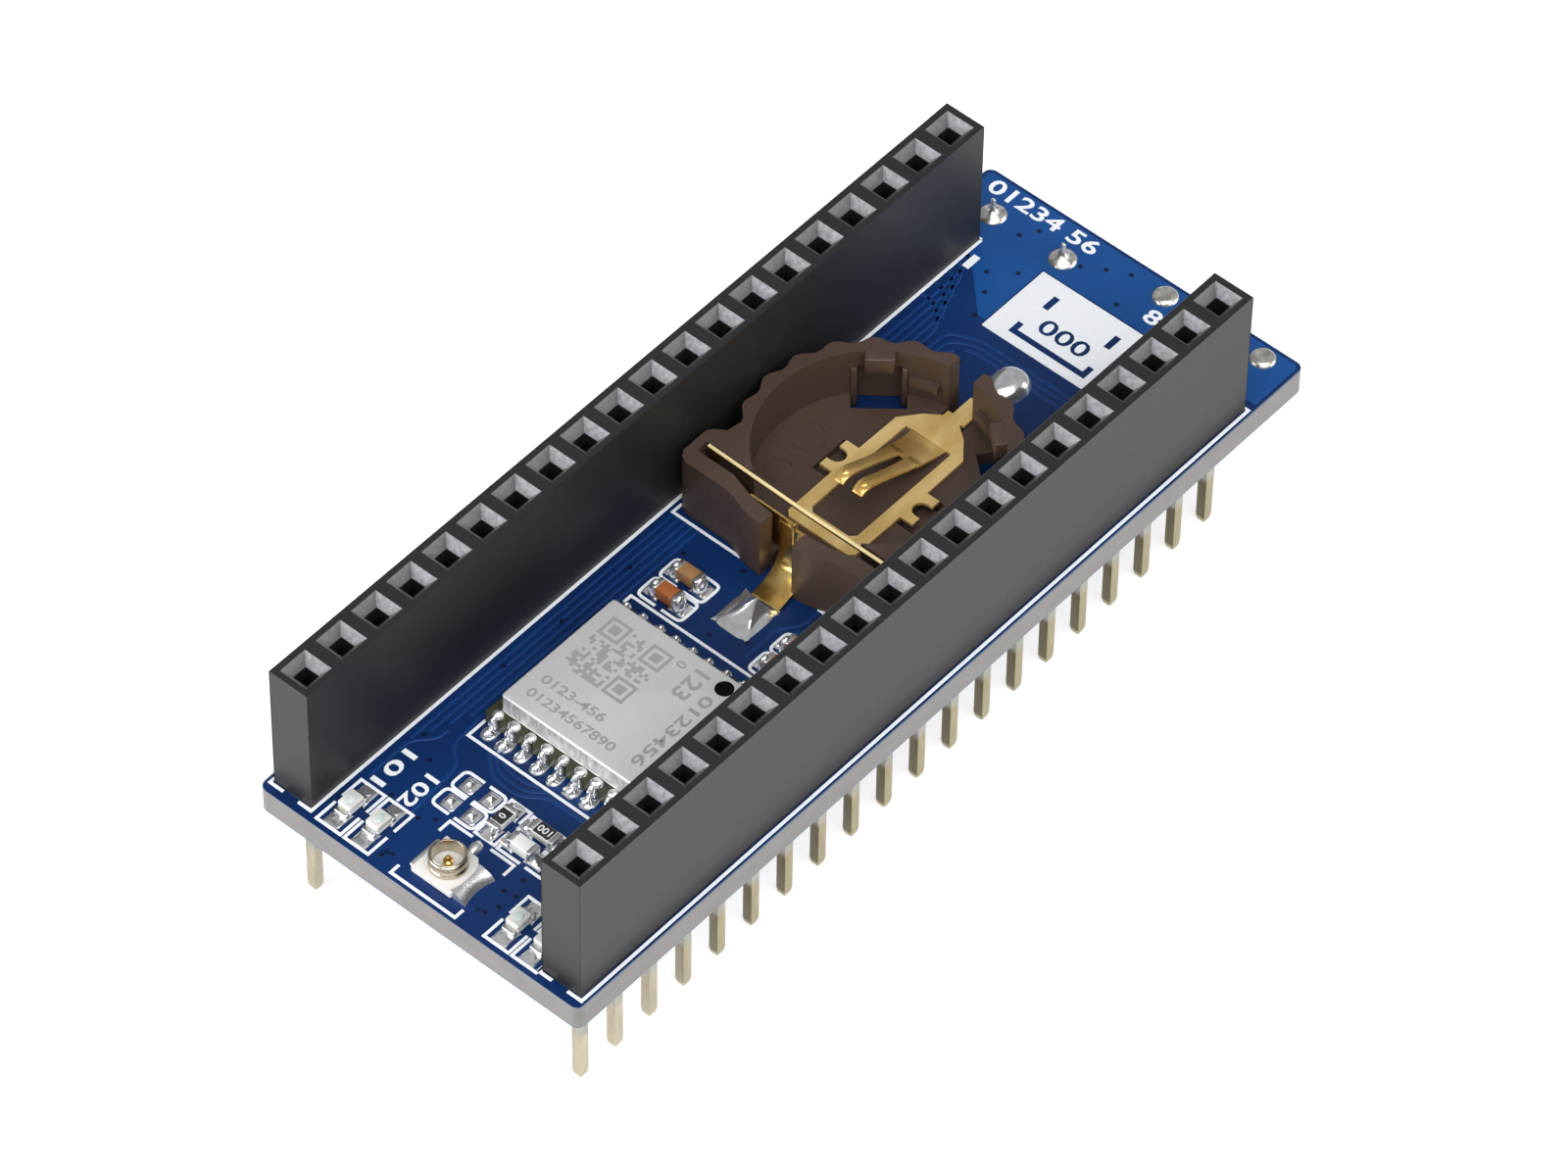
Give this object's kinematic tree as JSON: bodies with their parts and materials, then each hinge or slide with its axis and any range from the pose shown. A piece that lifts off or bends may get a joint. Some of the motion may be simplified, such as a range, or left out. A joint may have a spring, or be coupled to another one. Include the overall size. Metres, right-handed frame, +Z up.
{
  "type": "microcontroller dev board",
  "caption": "Add-on board with two long stacking socket strips, a radio module under a metal can, an aerial socket, an open coin-cell holder and push buttons underneath.",
  "frame": {"origin": "centre of the board's plan, on the plane that the header tails stand on", "axes": "+X along the board towards the connector end with the buttons, +Y towards header A, +Z up out of the component side"},
  "size_m": [0.0558, 0.0212, 0.0169],
  "materials": {
    "board_blue": "blue solder mask on glass-fibre board",
    "header_black": "moulded black",
    "tail_brass": "plated, pale gold",
    "holder_brown": "moulded brown, fine matt texture",
    "contact_gold": "gold plated spring sheet",
    "can_steel": "tinned sheet, satin",
    "module_green": "green solder mask",
    "chip_black": "moulded resin",
    "socket_white": "moulded white",
    "capacitor": "fired ceramic",
    "switch_black": "moulded black",
    "plunger_white": "moulded off-white",
    "solder": "bright solder",
    "silkscreen": "white printed ink",
    "led_lens": "clear resin over a white base"
  },
  "bodies": {
    "board": {"battery_holder": "holder_brown", "capacitor_1": "capacitor", "capacitor_2": "capacitor", "circuit_board": "board_blue", "coax_base": "socket_white", "coax_pin": "contact_gold", "coax_shell": "contact_gold", "force_button_body": "switch_black", "header_a_contact_01": "tail_brass", "header_a_contact_02": "tail_brass", "header_a_contact_03": "tail_brass", "header_a_contact_04": "tail_brass", "header_a_contact_05": "tail_brass", "header_a_contact_06": "tail_brass", "header_a_contact_07": "tail_brass", "header_a_contact_08": "tail_brass", "header_a_contact_09": "tail_brass", "header_a_contact_10": "tail_brass", "header_a_contact_11": "tail_brass", "header_a_contact_12": "tail_brass", "header_a_contact_13": "tail_brass", "header_a_contact_14": "tail_brass", "header_a_contact_15": "tail_brass", "header_a_contact_16": "tail_brass", "header_a_contact_17": "tail_brass", "header_a_contact_18": "tail_brass", "header_a_contact_19": "tail_brass", "header_a_contact_20": "tail_brass", "header_a_housing": "header_black", "header_b_contact_01": "tail_brass", "header_b_contact_02": "tail_brass", "header_b_contact_03": "tail_brass", "header_b_contact_04": "tail_brass", "header_b_contact_05": "tail_brass", "header_b_contact_06": "tail_brass", "header_b_contact_07": "tail_brass", "header_b_contact_08": "tail_brass", "header_b_contact_09": "tail_brass", "header_b_contact_10": "tail_brass", "header_b_contact_11": "tail_brass", "header_b_contact_12": "tail_brass", "header_b_contact_13": "tail_brass", "header_b_contact_14": "tail_brass", "header_b_contact_15": "tail_brass", "header_b_contact_16": "tail_brass", "header_b_contact_17": "tail_brass", "header_b_contact_18": "tail_brass", "header_b_contact_19": "tail_brass", "header_b_contact_20": "tail_brass", "header_b_housing": "header_black", "module_board": "module_green", "negative_plate": "contact_gold", "positive_tab": "contact_gold", "receiver_chip": "chip_black", "shield_can": "can_steel", "standby_button_body": "switch_black"},
    "force_plunger": {"force_button_plunger": "plunger_white"},
    "standby_plunger": {"standby_button_plunger": "plunger_white"},
    "blade": {"positive_blade": "contact_gold"},
    "tongue": {"negative_tongue": "contact_gold"}
  },
  "joints": [
    {"name": "force_press", "type": "slide", "parent": "board", "child": "force_plunger", "axis": [0, 0, 1], "range_m": [0, 0.00025], "stiffness_N_per_m": 2000},
    {"name": "standby_press", "type": "slide", "parent": "board", "child": "standby_plunger", "axis": [-1, 0, 0], "range_m": [0, 0.00025], "stiffness_N_per_m": 2000},
    {"name": "blade_flex", "type": "slide", "parent": "board", "child": "blade", "axis": [-1, 0, 0], "range_m": [0, 0.0004], "stiffness_N_per_m": 2000},
    {"name": "tongue_flex", "type": "hinge", "parent": "board", "child": "tongue", "pos_m": [0.0105, 0, 0.00938], "axis": [0, 1, 0], "range_deg": [-8, 0], "stiffness_Nm_per_rad": 0.025}
  ]
}
